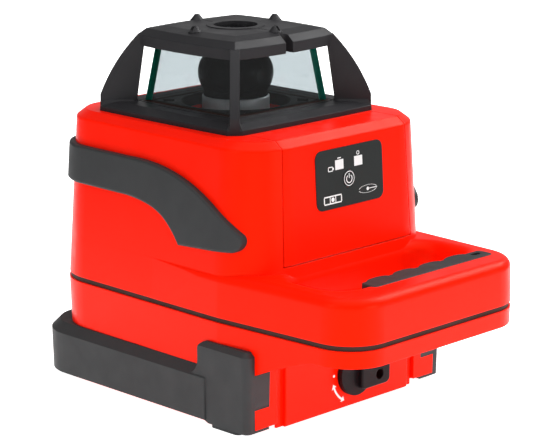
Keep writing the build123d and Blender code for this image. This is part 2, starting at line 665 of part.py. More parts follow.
with BuildPart() as side_band:
    with BuildSketch(Plane.XY.offset(BAND_FOOT_Z)):
        add(tower_plan(BAND_FOOT_Z, BAND_PROUD))
    extrude(amount=BAND_TOP_Z - BAND_FOOT_Z, taper=DRAFT)
    with BuildSketch(Plane.YZ.offset(-100)):
        with BuildLine():
            Spline((14, BAND_HIGH_Z), (-17, 137.8), (-34, 133.6), (-50, 126.8), (-66, 116.9), (-75.6, 109.3))
            ThreePointArc((-75.6, 109.3), (-76.4, 104.4), (-71.0, 99.8))
            Line((-71.0, 99.8), (-31.5, 97.4))
            Spline((-31.5, 97.4), (-25.8, 104.2), (-17, 111.2), (-3.3, 116.0), (14, BAND_LOW_Z))
            Polyline((14, BAND_LOW_Z), (120, BAND_LOW_Z), (120, BAND_HIGH_Z), (14, BAND_HIGH_Z))
        make_face()
    extrude(amount=200, mode=Mode.INTERSECT)
    # round the outer edges: every edge but the ones inside the tower and the ones between its walls
    edges = side_band.edges()
    outer = edges.filter_by(lambda edge: edge.center().Y > BAND_REAR_Y or abs(edge.center().X) > 1)
    rim = outer.filter_by(lambda edge: edge.center().Y < 0 or edge.bounding_box().size.Z < BAND_STEEP)
    fillet(rim, BAND_ROUND)
    add(tower_shape.part, mode=Mode.SUBTRACT)
save(side_band, "side_band")

# ================= keypad =================

KEYPAD_TALL = up_wall(KEYPAD_HIGH_Z) - up_wall(KEYPAD_LOW_Z)
KEYPAD_MIDDLE = (up_wall(KEYPAD_HIGH_Z) + up_wall(KEYPAD_LOW_Z)) / 2
WINDOW_PLACES = [(x, up_wall(z)) for x, z in WINDOW_XZ]

with BuildPart() as front_cover:
    add(cover_skin())
    with BuildSketch(FACE.offset(-KEYPAD_THICK / 2)):
        with Locations((KEYPAD_X, KEYPAD_MIDDLE)):
            RectangleRounded(2 * KEYPAD_HALF, KEYPAD_TALL, KEYPAD_RADIUS)
    extrude(amount=KEYPAD_THICK, mode=Mode.SUBTRACT)
    with BuildSketch(FACE):
        with Locations((BUTTON_X, 0)):
            Circle(BUTTON_R + GAP)
        with Locations(*WINDOW_PLACES):
            Rectangle(WINDOW_WIDE, WINDOW_TALL)
    extrude(amount=-PANEL_THICK, mode=Mode.SUBTRACT)
save(front_cover, "front_cover")

with BuildPart() as keypad_label:
    with BuildSketch(FACE.offset(-KEYPAD_THICK / 2)):
        with Locations((KEYPAD_X, KEYPAD_MIDDLE)):
            RectangleRounded(2 * KEYPAD_HALF, KEYPAD_TALL, KEYPAD_RADIUS)
        with Locations((BUTTON_X, 0)):
            Circle(BUTTON_R + GAP, mode=Mode.SUBTRACT)
        with Locations(*WINDOW_PLACES):
            Rectangle(WINDOW_WIDE, WINDOW_TALL, mode=Mode.SUBTRACT)
    extrude(amount=KEYPAD_THICK)
save(keypad_label, "keypad_label")

with BuildPart() as status_windows:
    with BuildSketch(FACE.offset(-PANEL_THICK)):
        with Locations(*WINDOW_PLACES):
            Rectangle(WINDOW_WIDE, WINDOW_TALL)
    extrude(amount=PANEL_THICK + KEYPAD_THICK / 2)
save(status_windows, "status_windows")

BOARD_DEPTH = PANEL_THICK + BOARD_GAP

with BuildPart() as power_button:
    with BuildSketch(FACE.offset(-PANEL_THICK + BUTTON_TRAVEL)):
        with Locations((BUTTON_X, 0)):
            Circle(BUTTON_R)
    extrude(amount=PANEL_THICK + BUTTON_PROUD - BUTTON_TRAVEL)
    fillet(power_button.faces().sort_by(Axis.Y)[0].edges(), 0.5)
    with BuildSketch(FACE.offset(-BOARD_DEPTH + SWITCH_TALL + BUTTON_TRAVEL + GAP)):
        with Locations((BUTTON_X, 0)):
            Circle(STEM_R)
    extrude(amount=BOARD_DEPTH - SWITCH_TALL - BUTTON_TRAVEL - GAP - 0.5)
save(power_button, "power_button")

with BuildPart() as keypad_board:
    with BuildSketch(FACE.offset(-BOARD_DEPTH - 1.6)):
        with Locations((0, KEYPAD_OPENING_UP)):
            RectangleRounded(46, 26, 2)
        with Locations((-20, -8.5), (20, -8.5), (-20, 11.5), (20, 11.5)):
            Circle(1.2, mode=Mode.SUBTRACT)
    extrude(amount=1.6)
    # status lamps soldered behind the windows
    with BuildSketch(FACE.offset(-BOARD_DEPTH)):
        with Locations(*WINDOW_PLACES):
            Rectangle(3, 3)
    extrude(amount=1.4)
save(keypad_board, "keypad_board")

with BuildPart() as button_switch:
    with BuildSketch(FACE.offset(-BOARD_DEPTH)):
        with Locations((BUTTON_X, 0)):
            Rectangle(6, 6)
    extrude(amount=SWITCH_TALL - 0.8)
    with BuildSketch(FACE.offset(-BOARD_DEPTH + SWITCH_TALL - 0.8)):
        with Locations((BUTTON_X, 0)):
            Circle(STEM_R - 0.2)
    extrude(amount=0.8)
save(button_switch, "button_switch")

# ================= rotor guard and glass =================

with BuildPart() as top_guard:
    # bevelled base ring
    with BuildSketch(Plane.XY.offset(RING_LOW_Z)):
        add(ring_plan())
    extrude(amount=RING_BAND_Z - RING_LOW_Z)
    with BuildSketch(Plane.XY.offset(RING_BAND_Z)):
        add(ring_plan())
    extrude(amount=RING_TOP_Z - RING_BAND_Z, taper=RING_TAPER)
    with BuildSketch(Plane.XY.offset(RING_LOW_Z)):
        Circle(WELL_R)
    extrude(amount=RING_TOP_Z - RING_LOW_Z, mode=Mode.SUBTRACT)
    with BuildSketch(Plane.XY.offset(RING_TOP_Z - POCKET_DEEP)):
        with PolarLocations(POCKET_R, 4, 45):
            RectangleRounded(POCKET_LONG, POCKET_WIDE, 1.0)
    extrude(amount=POCKET_DEEP, mode=Mode.SUBTRACT)
    with BuildSketch(Plane.XY.offset(RING_TOP_Z - GROOVE_WIDE)):
        add(bowed_square(GROOVE_HALF, PLATE_BULGE))
        add(bowed_square(GROOVE_HALF, PLATE_BULGE, -GROOVE_WIDE), mode=Mode.SUBTRACT)
    extrude(amount=GROOVE_WIDE, mode=Mode.SUBTRACT)
    # flared feet of the fins
    with BuildSketch(Plane.XY.offset(FIN_FOOT_Z)):
        with PolarLocations(RING_FACET - FOOT_LONG / 2, 4, 45):
            Rectangle(FOOT_LONG, FOOT_WIDE)
    extrude(amount=FOOT_TALL, taper=25)
    # domed top plate with a bevel all round
    with BuildSketch(Plane.XY.offset(PLATE_LOW_Z)):
        add(bowed_square(PLATE_CORNER, PLATE_BULGE))
    extrude(amount=PLATE_BAND_Z - PLATE_LOW_Z)
    with BuildSketch(Plane.XY.offset(PLATE_BAND_Z)):
        add(bowed_square(PLATE_CORNER, PLATE_BULGE))
    extrude(amount=PLATE_FLAT_Z - PLATE_BAND_Z, taper=PLATE_TAPER)
    # fins from the ring's corners to the plate's corners
    for turn in (45, 135, 225, 315):
        outward = (cos(radians(turn)), sin(radians(turn)), 0)
        across = (sin(radians(turn)), -cos(radians(turn)), 0)
        with BuildSketch(Plane(origin=(0, 0, 0), x_dir=outward, z_dir=across).offset(-FIN_THICK / 2)):
            with BuildLine():
                Polyline(
                    (RING_FACET, FIN_FOOT_Z), (54, FIN_FOOT_Z), (56, 165), (51.7, PLATE_LOW_Z),
                    (45, PLATE_LOW_Z), (45, PLATE_BAND_Z), (55.2, PLATE_BAND_Z),
                )
                Spline((55.2, PLATE_BAND_Z), (63.8, 191.1), (69.7, 182.2), (73.6, 174.9), (76.9, 167.3))
                Line((76.9, 167.3), (RING_FACET, FIN_FOOT_Z))
            make_face()
        extrude(amount=FIN_THICK)
    with BuildSketch(Plane.XY.offset(RING_LOW_Z)):
        with GridLocations(2 * GUARD_SCREW, 2 * GUARD_SCREW, 2, 2):
            Circle(SCREW_HOLE_R)
    extrude(amount=2.6, mode=Mode.SUBTRACT)
    # shallow dome of the top, hole with a raised collar, and the seats of the glass and the sights
    with BuildSketch(Plane.XY.offset(PLATE_FLAT_Z)):
        add(bowed_square(PLATE_CORNER, PLATE_BULGE, -PLATE_BEVEL))
    extrude(amount=PLATE_TOP_Z - PLATE_FLAT_Z, taper=80.0)
    with BuildSketch(Plane.XY.offset(PLATE_TOP_Z - 2)):
        Circle(HOLE_R + COLLAR)
    extrude(amount=2.5)
    with BuildSketch(Plane.XY.offset(PLATE_LOW_Z)):
        Circle(HOLE_R - 2.0)
    extrude(amount=PLATE_TOP_Z - PLATE_LOW_Z + 1, mode=Mode.SUBTRACT)
    with BuildSketch(Plane.XY.offset(PLATE_TOP_Z - 3.4)):
        Circle(HOLE_R)
    extrude(amount=6, mode=Mode.SUBTRACT)
    with BuildSketch(Plane.XY.offset(PLATE_LOW_Z)):
        Rectangle(2 * GLASS_HIGH_HALF + 5, 2 * GLASS_HIGH_HALF + 5)
        Circle(HOLE_R + 2.6, mode=Mode.SUBTRACT)
    extrude(amount=GLASS_HIGH_Z - PLATE_LOW_Z, mode=Mode.SUBTRACT)
    for turn in (0, 90, 180, 270):
        foot = (SIGHT_R * cos(radians(turn)), SIGHT_R * sin(radians(turn)))
        with BuildSketch(Plane.XY.offset(PLATE_FLAT_Z)):
            with Locations(foot):
                Circle(4.0)
        extrude(amount=1.4)
        with BuildSketch(Plane.XY.offset(PLATE_FLAT_Z + 1.4)):
            with Locations(foot):
                Circle(3.7)
        extrude(amount=SIGHT_TALL, taper=37)
    # fine lines engraved from the collar to the sights
    with BuildSketch(Plane.XY.offset(PLATE_TOP_Z - 0.5)):
        with PolarLocations((HOLE_R + COLLAR + SIGHT_R) / 2 - 1.5, 4):
            Rectangle(SIGHT_R - HOLE_R - COLLAR - 5, 0.7)
    extrude(amount=2, mode=Mode.SUBTRACT)
    # the two rear sights are split by a slot towards the middle
    with BuildSketch(Plane.XY.offset(PLATE_TOP_Z + 0.4)):
        with Locations((-SIGHT_R, 0)):
            Rectangle(9, SIGHT_SLIT)
        with Locations((0, -SIGHT_R)):
            Rectangle(SIGHT_SLIT, 9)
    extrude(amount=SIGHT_TALL + 2, mode=Mode.SUBTRACT)
    # sighting notch through the front rim
    with BuildSketch(Plane.XY.offset(PLATE_LOW_Z - 1)):
        with Locations((0, -PLATE_CORNER - PLATE_BULGE + 1)):
            SlotOverall(12, NOTCH_WIDE, rotation=90)
    extrude(amount=PLATE_TOP_Z - PLATE_LOW_Z + 2, mode=Mode.SUBTRACT)
save(top_guard, "top_guard")

screws("guard_screws", [(x, y) for x in (-GUARD_SCREW, GUARD_SCREW) for y in (-GUARD_SCREW, GUARD_SCREW)],
       2.8, RING_LOW_Z - GUARD_POST_TALL - 2.2, 2.2, SCREW_HOLE_R, RING_LOW_Z + 2.2)

GLASS_LEAN = degrees(atan2(GLASS_LOW_HALF - GLASS_HIGH_HALF, GLASS_HIGH_Z - GLASS_LOW_Z))

with BuildPart() as glass_frustum:
    with BuildSketch(Plane.XY.offset(GLASS_LOW_Z)):
        Rectangle(2 * GLASS_LOW_HALF, 2 * GLASS_LOW_HALF)
    extrude(amount=GLASS_HIGH_Z - GLASS_LOW_Z, taper=GLASS_LEAN)
    with BuildSketch(Plane.XY.offset(GLASS_LOW_Z)):
        Rectangle(2 * (GLASS_LOW_HALF - GLASS_THICK), 2 * (GLASS_LOW_HALF - GLASS_THICK))
    extrude(amount=GLASS_HIGH_Z - GLASS_LOW_Z, taper=GLASS_LEAN, mode=Mode.SUBTRACT)

for pane_name, turn in (("glass_front", 270), ("glass_right", 0), ("glass_rear", 90), ("glass_left", 180)):
    with BuildPart() as pane:
        add(glass_frustum.part)
        with BuildSketch(Plane.XY.offset(GLASS_LOW_Z)):
            with BuildLine():
                Polyline(
                    (0, 0), (60 * cos(radians(turn - 45)), 60 * sin(radians(turn - 45))),
                    (60 * cos(radians(turn + 45)), 60 * sin(radians(turn + 45))), close=True,
                )
            make_face()
        extrude(amount=GLASS_HIGH_Z - GLASS_LOW_Z, mode=Mode.INTERSECT)
    save(pane, pane_name)

with BuildPart() as glass_seal:
    with BuildSketch(Plane.XY.offset(RING_TOP_Z)):
        Rectangle(2 * GLASS_LOW_HALF + 1.6, 2 * GLASS_LOW_HALF + 1.6)
        Rectangle(2 * (GLASS_LOW_HALF - GLASS_THICK) - 0.8, 2 * (GLASS_LOW_HALF - GLASS_THICK) - 0.8,
                  mode=Mode.SUBTRACT)
    extrude(amount=GLASS_LOW_Z - RING_TOP_Z)
save(glass_seal, "glass_seal")

with BuildPart() as top_window:
    with BuildSketch(Plane.XY.offset(PLATE_TOP_Z - 3.4)):
        Circle(HOLE_R)
    extrude(amount=1.6)
save(top_window, "top_window")

# ================= rotor =================

PULLEY_LOW_Z = 144.0
GROOVE_R = 13.0                # belt grooves of the rotor's pulley and the motor's, 3.25 to 1
MOTOR_GROOVE_R = 4.0
HUB_LOW_Z = 150.0
HUB_TOP_Z = 166.7
ROTOR_TOP_Z = 190.0
BEAM_Z = 179.5
PRISM_LOW_Z = 171.5
BEARING_IN = 8.5               # 17 x 26 x 5 bearing
BEARING_OUT = 13.0
BEARING_TALL = 5.0
BEARING_Z = (151.0, 160.0)
BALL_R = 0.82
BALL_CIRCLE = 10.75

with BuildPart() as rotor_housing:
    with BuildSketch(Plane.XZ):
        with BuildLine():
            Polyline((0, HUB_TOP_Z), (ROTOR_FOOT_R, HUB_TOP_Z), (ROTOR_FOOT_R, 170.2))
            Spline(
                (ROTOR_FOOT_R, 170.2), (19.2, 173.6), (ROTOR_R, BEAM_Z), (19.2, 185.6),
                (ROTOR_TOP_R, ROTOR_TOP_Z),
            )
            Polyline((ROTOR_TOP_R, ROTOR_TOP_Z), (0, ROTOR_TOP_Z), (0, HUB_TOP_Z))
        make_face()
    revolve(axis=Axis.Z)
    with BuildSketch(Plane.XY.offset(HUB_TOP_Z)):
        Circle(BEARING_IN)
    extrude(amount=PRISM_LOW_Z - HUB_TOP_Z, mode=Mode.SUBTRACT)
    with BuildSketch(Plane.XY.offset(PRISM_LOW_Z)):
        Circle(15.5)
    extrude(amount=ROTOR_TOP_Z - 2.5 - PRISM_LOW_Z, mode=Mode.SUBTRACT)
    with BuildSketch(Plane.XY.offset(ROTOR_TOP_Z - 4)):
        Circle(4)
    extrude(amount=6, mode=Mode.SUBTRACT)
    with BuildSketch(Plane.XZ.offset(10)):
        with Locations((0, BEAM_Z)):
            Circle(4.6)
    extrude(amount=12, mode=Mode.SUBTRACT)
save(rotor_housing, "rotor_housing")

with BuildPart() as aperture_window:
    with BuildSketch(Plane.XZ.offset(16)):
        with Locations((0, BEAM_Z)):
            Circle(4.6)
    extrude(amount=1.6)
save(aperture_window, "aperture_window")

with BuildPart() as pentaprism:
    with BuildSketch(Plane.YZ.offset(-7)):
        with BuildLine():
            Polyline(
                (-8, PRISM_LOW_Z), (7, PRISM_LOW_Z), (8.8, 180.5), (2.4, 186.9), (-8, 185.2), close=True,
            )
        make_face()
    extrude(amount=14)
save(pentaprism, "pentaprism")

with BuildPart() as rotor_hub:
    with BuildSketch(Plane.XY.offset(HUB_LOW_Z)):
        Circle(HUB_R)
        Circle(BEARING_OUT, mode=Mode.SUBTRACT)
    extrude(amount=HUB_TOP_Z - HUB_LOW_Z)
    chamfer(rotor_hub.faces().sort_by(Axis.Z)[-1].outer_wire().edges(), 0.5)
save(rotor_hub, "rotor_hub")

with BuildPart() as rotor_pulley:
    with BuildSketch(Plane.XZ):
        with BuildLine():
            Polyline(
                (9.2, PULLEY_LOW_Z), (14.0, PULLEY_LOW_Z), (14.0, 145.4), (GROOVE_R, 145.8),
                (GROOVE_R, 148.2), (14.0, 148.6), (14.0, HUB_LOW_Z), (9.2, HUB_LOW_Z), close=True,
            )
        make_face()
    revolve(axis=Axis.Z)
save(rotor_pulley, "rotor_pulley")


def bearing_rings(name, inside, outside):
    """One race of both rotor bearings, each its own solid."""
    with BuildPart() as races:
        for low in BEARING_Z:
            with BuildSketch(Plane.XY.offset(low)):
                Circle(outside)
                Circle(inside, mode=Mode.SUBTRACT)
            extrude(amount=BEARING_TALL)
    save(races, name)


bearing_rings("bearing_inner_races", BEARING_IN, BALL_CIRCLE - BALL_R - 0.03)
bearing_rings("bearing_outer_races", BALL_CIRCLE + BALL_R + 0.03, BEARING_OUT)

with BuildPart() as bearing_balls:
    for low in BEARING_Z:
        with Locations((0, 0, low + BEARING_TALL / 2)):
            with PolarLocations(BALL_CIRCLE, 9):
                Sphere(BALL_R)
save(bearing_balls, "bearing_balls")

# ================= tilting core =================

CORE_LOW_Z = 88.0
MOTOR_X = -20.0
HUB_BOSS = 27.0

with BuildPart() as laser_core:
    with BuildSketch(Plane.XY.offset(CORE_LOW_Z)):
        Circle(CORE_R)
    extrude(amount=143 - CORE_LOW_Z)
    with BuildSketch(Plane.XY.offset(143)):
        Circle(BEARING_IN)
    extrude(amount=22)
    with BuildSketch(Plane.XY.offset(PIVOT_Z - 5)):
        Rectangle(10, 2 * HUB_BOSS)
        Circle(13)
    extrude(amount=10)
    # bracket of the rotor's motor, and the arm that the levelling plunger moves
    with BuildSketch(Plane.XY.offset(140.5)):
        with Locations((MOTOR_X / 2 - 3, 0)):
            RectangleRounded(-MOTOR_X + 8, 14, 3)
    extrude(amount=2.5)
    with BuildSketch(Plane.XZ.offset(-6.5)):
        with BuildLine():
            Polyline(
                (8, ARM_X_Z + 5), (8, ARM_X_Z - 5), (ARM_X + 5, ARM_X_Z - 5), (ARM_X + 5, ARM_X_Z + 5),
                close=True,
            )
        make_face()
        with Locations((ARM_X, ARM_X_Z)):
            SlotOverall(9.0, 6.4, mode=Mode.SUBTRACT)
    extrude(amount=3)
    with BuildSketch(Plane.XY.offset(CORE_LOW_Z)):
        Circle(7.5)
    extrude(amount=34, mode=Mode.SUBTRACT)
    with BuildSketch(Plane.XY.offset(CORE_LOW_Z)):
        Circle(5.5)
    extrude(amount=90, mode=Mode.SUBTRACT)
    with BuildSketch(Plane.XY.offset(140)):
        with Locations((MOTOR_X, 0)):
            Circle(1.6)
    extrude(amount=4, mode=Mode.SUBTRACT)
    with BuildSketch(Plane.XZ.offset(-40)):
        with Locations((0, PIVOT_Z)):
            Circle(PIN_R)
    extrude(amount=80, mode=Mode.SUBTRACT)
save(laser_core, "laser_core")

with BuildPart() as laser_module:
    with BuildSketch(Plane.XY.offset(CORE_LOW_Z)):
        Circle(7.5)
    extrude(amount=24)
    with BuildSketch(Plane.XY.offset(CORE_LOW_Z + 22)):
        Circle(3.0)
    extrude(amount=2, mode=Mode.SUBTRACT)
save(laser_module, "laser_module")

with BuildPart() as collimator_lens:
    with BuildSketch(Plane.XY.offset(CORE_LOW_Z + 31)):
        Circle(7.5)
    extrude(amount=3)
save(collimator_lens, "collimator_lens")

with BuildPart() as core_pins:
    for side in (-1, 1):
        with BuildSketch(Plane.XZ.offset(-side * 14)):
            with Locations((0, PIVOT_Z)):
                Circle(PIN_R)
        extrude(amount=-side * (GIMBAL_OUT - 14.5))
save(core_pins, "core_pins")

with BuildPart() as sensor_board:
    with BuildSketch(Plane.XY.offset(CORE_LOW_Z - 1.6)):
        RectangleRounded(30, 30, 2)
    extrude(amount=1.6)
save(sensor_board, "sensor_board")

with BuildPart() as level_vials:
    with BuildSketch(Plane.YZ.offset(-12)):
        with Locations((-9, CORE_LOW_Z - 4.4)):
            Circle(2.8)
    extrude(amount=24)
    with BuildSketch(Plane.XZ.offset(-12)):
        with Locations((9, CORE_LOW_Z - 4.4)):
            Circle(2.8)
    extrude(amount=17)
save(level_vials, "level_vials")

with BuildPart() as rotor_motor:
    with BuildSketch(Plane.XY.offset(119)):
        with Locations((MOTOR_X, 0)):
            Circle(6)
    extrude(amount=21.5)
save(rotor_motor, "rotor_motor")

with BuildPart() as motor_pulley:
    with BuildSketch(Plane.XZ):
        with BuildLine():
            Polyline(
                (0, 140.6), (1.0, 140.6), (1.0, PULLEY_LOW_Z), (5.0, PULLEY_LOW_Z), (5.0, 145.4),
                (MOTOR_GROOVE_R, 145.8), (MOTOR_GROOVE_R, 148.2), (5.0, 148.6), (5.0, 149.4), (0, 149.4),
                close=True,
            )
        make_face()
    revolve(axis=Axis.Z)
motor_pulley.part.position = (MOTOR_X, 0, 0)
save(motor_pulley, "motor_pulley")


def belt_plan(grow):
    """The line of the belt round both pulleys, at a distance from their grooves."""
    tangent = asin((GROOVE_R - MOTOR_GROOVE_R) / -MOTOR_X)
    large = (GROOVE_R + grow) * sin(tangent), (GROOVE_R + grow) * cos(tangent)
    small = (MOTOR_GROOVE_R + grow) * sin(tangent), (MOTOR_GROOVE_R + grow) * cos(tangent)
    with BuildSketch() as plan:
        Circle(GROOVE_R + grow)
        with Locations((MOTOR_X, 0)):
            Circle(MOTOR_GROOVE_R + grow)
        with BuildLine():
            Polyline(
                (-large[0], large[1]), (MOTOR_X - small[0], small[1]), (MOTOR_X - small[0], -small[1]),
                (-large[0], -large[1]), close=True,
            )
        make_face()
    return plan.sketch


with BuildPart() as drive_belt:
    with BuildSketch(Plane.XY.offset(146.1)):
        add(belt_plan(1.1))
        add(belt_plan(RUNNING), mode=Mode.SUBTRACT)
    extrude(amount=1.8)
save(drive_belt, "drive_belt")

with BuildPart() as gimbal_ring:
    with BuildSketch(Plane.XY.offset(PIVOT_Z - 4)):
        Circle(GIMBAL_OUT)
        Circle(GIMBAL_IN, mode=Mode.SUBTRACT)
    extrude(amount=8)
    with BuildSketch(Plane.YZ.offset(3.5)):
        with BuildLine():
            Polyline((GIMBAL_OUT - 3, PIVOT_Z + 4), (GIMBAL_OUT - 3, PIVOT_Z - 4), (ARM_Y + 5, PIVOT_Z - 4),
                     (ARM_Y + 5, PIVOT_Z + 4), close=True)
        make_face()
        with Locations((ARM_Y, PIVOT_Z)):
            Circle(2.5, mode=Mode.SUBTRACT)
    extrude(amount=3)
    with BuildSketch(Plane.XZ.offset(-60)):
        with Locations((0, PIVOT_Z)):
            Circle(PIN_R + RUNNING)
    extrude(amount=120, mode=Mode.SUBTRACT)
    with BuildSketch(Plane.YZ.offset(-60)):
        with Locations((0, PIVOT_Z)):
            Circle(PIN_R + RUNNING)
    extrude(amount=120, mode=Mode.SUBTRACT)
save(gimbal_ring, "gimbal_ring")

# ================= chassis and levelling =================

POST_IN = 38.0
POST_OUT = 46.0

with BuildPart() as head_chassis:
    with BuildSketch(Plane.XY.offset(CHASSIS_Z)):
        RectangleRounded(2 * COLUMN_X + 12, 2 * COLUMN_Y + 12, 6)
        Circle(24, mode=Mode.SUBTRACT)
        with Locations((ARM_X, -2), (-2, ARM_Y)):
            Circle(PIN_R + 0.5, mode=Mode.SUBTRACT)
        with GridLocations(2 * COLUMN_X, 2 * COLUMN_Y, 2, 2):
            Circle(1.6, mode=Mode.SUBTRACT)
    extrude(amount=CHASSIS_THICK)
    for side in (-1, 1):
        with BuildSketch(Plane.XY.offset(CHASSIS_Z + CHASSIS_THICK)):
            with Locations((side * (POST_IN + POST_OUT) / 2, 0)):
                Rectangle(POST_OUT - POST_IN, 14)
        extrude(amount=PIVOT_Z + 7 - CHASSIS_Z - CHASSIS_THICK)
    with BuildSketch(Plane.YZ.offset(-60)):
        with Locations((0, PIVOT_Z)):
            Circle(PIN_R)
    extrude(amount=120, mode=Mode.SUBTRACT)
save(head_chassis, "head_chassis")

with BuildPart() as ring_pins:
    for side in (-1, 1):
        with BuildSketch(Plane.YZ.offset(side * (GIMBAL_IN + 0.5))):
            with Locations((0, PIVOT_Z)):
                Circle(PIN_R)
        extrude(amount=side * (POST_OUT - GIMBAL_IN - 0.5))
save(ring_pins, "ring_pins")

screws("chassis_screws", [(x, y) for x in (-COLUMN_X, COLUMN_X) for y in (-COLUMN_Y, COLUMN_Y)],
       2.8, CHASSIS_Z + CHASSIS_THICK + 2.2, 2.2, SCREW_HOLE_R, CHASSIS_Z - 11)

for motor_name, motor_x, motor_y in (("level_motor_x", ARM_X, -2), ("level_motor_y", -2, ARM_Y)):
    with BuildPart() as level_motor:
        with BuildSketch(Plane.XY.offset(CHASSIS_Z - 18)):
            with Locations((motor_x, motor_y)):
                Circle(7.5)
                Circle(PIN_R + RUNNING, mode=Mode.SUBTRACT)
        extrude(amount=18)
    save(level_motor, motor_name)

with BuildPart() as level_plunger_x:
    with BuildSketch(Plane.XY.offset(CHASSIS_Z - 15)):
        with Locations((ARM_X, -2)):
            Circle(PIN_R)
    extrude(amount=ARM_X_Z + 3.5 - CHASSIS_Z + 15)
    with BuildSketch(Plane.XZ.offset(2)):
        with Locations((ARM_X, ARM_X_Z)):
            Circle(PIN_R)
    extrude(amount=-10.5)
save(level_plunger_x, "level_plunger_x")

with BuildPart() as level_plunger_y:
    with BuildSketch(Plane.XY.offset(CHASSIS_Z - 15)):
        with Locations((-2, ARM_Y)):
            Circle(PIN_R)
    extrude(amount=PIVOT_Z + 3.5 - CHASSIS_Z + 15)
    with BuildSketch(Plane.YZ.offset(-2)):
        with Locations((ARM_Y, PIVOT_Z)):
            Circle(PIN_R)
    extrude(amount=10.5)
save(level_plunger_y, "level_plunger_y")

with BuildPart() as main_board:
    with BuildSketch(Plane.XY.offset(BOARD_Z)):
        RectangleRounded(2 * BOARD_POST_X + 10, 2 * BOARD_POST_Y + 10, 3)
        with GridLocations(2 * BOARD_POST_X, 2 * BOARD_POST_Y, 2, 2):
            Circle(1.2, mode=Mode.SUBTRACT)
    extrude(amount=1.6)
save(main_board, "main_board")

with BuildPart() as board_components:
    with BuildSketch(Plane.XY.offset(BOARD_Z + 1.6)):
        with Locations((-12, 4), (16, 10), (18, -16), (-24, -18)):
            Rectangle(11, 11)
        with GridLocations(12, 40, 3, 2):
            Rectangle(5, 8)
    extrude(amount=3)
save(board_components, "board_components")

# ================= tripod plate =================

with BuildPart() as tripod_plate:
    with BuildSketch(Plane.XY):
        Circle(30)
    extrude(amount=BASE_Z)
    chamfer(tripod_plate.faces().sort_by(Axis.Z)[0].edges(), 0.8)
    with BuildSketch(Plane.XY.offset(BASE_Z)):
        Circle(INSERT_R)
    extrude(amount=INSERT_TALL - BASE_Z)
    with BuildSketch(Plane.XY):
        Circle(THREAD_R)
    extrude(amount=INSERT_TALL, mode=Mode.SUBTRACT)
    with BuildSketch(Plane.XY):
        with PolarLocations(PLATE_SCREW_R, 4, 45):
            Circle(3.4)
    extrude(amount=2.6, mode=Mode.SUBTRACT)
    with BuildSketch(Plane.XY):
        with PolarLocations(PLATE_SCREW_R, 4, 45):
            Circle(1.6)
    extrude(amount=BASE_Z, mode=Mode.SUBTRACT)
save(tripod_plate, "tripod_plate")

PLATE_SCREW = PLATE_SCREW_R / sqrt(2)
screws("plate_screws", [(x, y) for x in (-PLATE_SCREW, PLATE_SCREW) for y in (-PLATE_SCREW, PLATE_SCREW)],
       3.2, 0.4, 2.2, SCREW_HOLE_R, BASE_Z + 2.5)

# ================= batteries =================

CELL_REAR_Y = BAY_REAR_Y - 7.4
CELL_STARTS = (CELL_REAR_Y - 2 * CELL_LONG, CELL_REAR_Y - CELL_LONG)

with BuildPart() as battery_tray:
    with BuildSketch(Plane.XY.offset(BAY_LOW_Z + GAP)):
        with Locations((0, TRAY_FRONT_Y + TRAY_WALL / 2)):
            Rectangle(2 * TRAY_HALF, TRAY_WALL)
    extrude(amount=BAY_HIGH_Z - BAY_LOW_Z - 2 * GAP)
    for side in (-1, 1):
        with BuildSketch(Plane.XY.offset(BAY_LOW_Z + GAP)):
            with Locations((side * CELL_X, (TRAY_FRONT_Y + BAY_REAR_Y - 1) / 2)):
                Rectangle(2 * (TRAY_HALF - CELL_X), BAY_REAR_Y - 1 - TRAY_FRONT_Y)
        extrude(amount=CELL_Z - BAY_LOW_Z - GAP)
        with BuildSketch(Plane.XZ.offset(-TRAY_FRONT_Y - TRAY_WALL)):
            with Locations((side * CELL_X, CELL_Z)):
                Circle(CELL_R + 0.2)
        extrude(amount=-(BAY_REAR_Y - 2.8 - TRAY_FRONT_Y - TRAY_WALL), mode=Mode.SUBTRACT)
        # posts that tie the tray to the door
        with BuildSketch(Plane.XZ.offset(-TRAY_FRONT_Y)):
            with Locations((side * 40, 15), (side * 40, 40)):
                Circle(3)
        extrude(amount=TRAY_FRONT_Y - BASE_FRONT_Y + GAP)
save(battery_tray, "battery_tray")

with BuildPart() as battery_door:
    with BuildSketch(Plane.XZ.offset(-BASE_FRONT_Y + GAP)):
        with Locations((0, (DOOR_LOW_Z + DOOR_HIGH_Z) / 2)):
            Rectangle(2 * DOOR_HALF, DOOR_HIGH_Z - DOOR_LOW_Z)
    extrude(amount=DOOR_FLANGE)
    with BuildSketch(Plane.XZ.offset(-BASE_FRONT_Y + GAP)):
        with Locations((0, (DOOR_LOW_Z + DOOR_HIGH_Z) / 2)):
            Rectangle(2 * DOOR_FACE_HALF, DOOR_HIGH_Z - DOOR_LOW_Z)
    extrude(amount=BASE_FRONT_Y - GAP - DOOR_FRONT_Y)
    fillet(battery_door.faces().sort_by(Axis.Y)[0].edges(), 0.6)
    with BuildSketch(Plane.XZ.offset(-BASE_FRONT_Y)):
        with Locations((KNOB_X, KNOB_Z)):
            Circle(4 + RUNNING)
    extrude(amount=10, mode=Mode.SUBTRACT)
save(battery_door, "battery_door")

for number in range(4):
    side = -1 if number < 2 else 1
    start = CELL_STARTS[number % 2]
    with BuildPart() as cell:
        with BuildSketch(Plane.XZ.offset(-start)):
            with Locations((side * CELL_X, CELL_Z)):
                Circle(CELL_R)
        extrude(amount=-(CELL_LONG - 1.5))
        fillet(cell.edges().filter_by(GeomType.CIRCLE), 1.0)
        with BuildSketch(Plane.XZ.offset(-start - CELL_LONG + 1.5)):
            with Locations((side * CELL_X, CELL_Z)):
                Circle(CELL_CAP_R)
        extrude(amount=-1.5)
    save(cell, "battery_cell_" + str(number + 1))

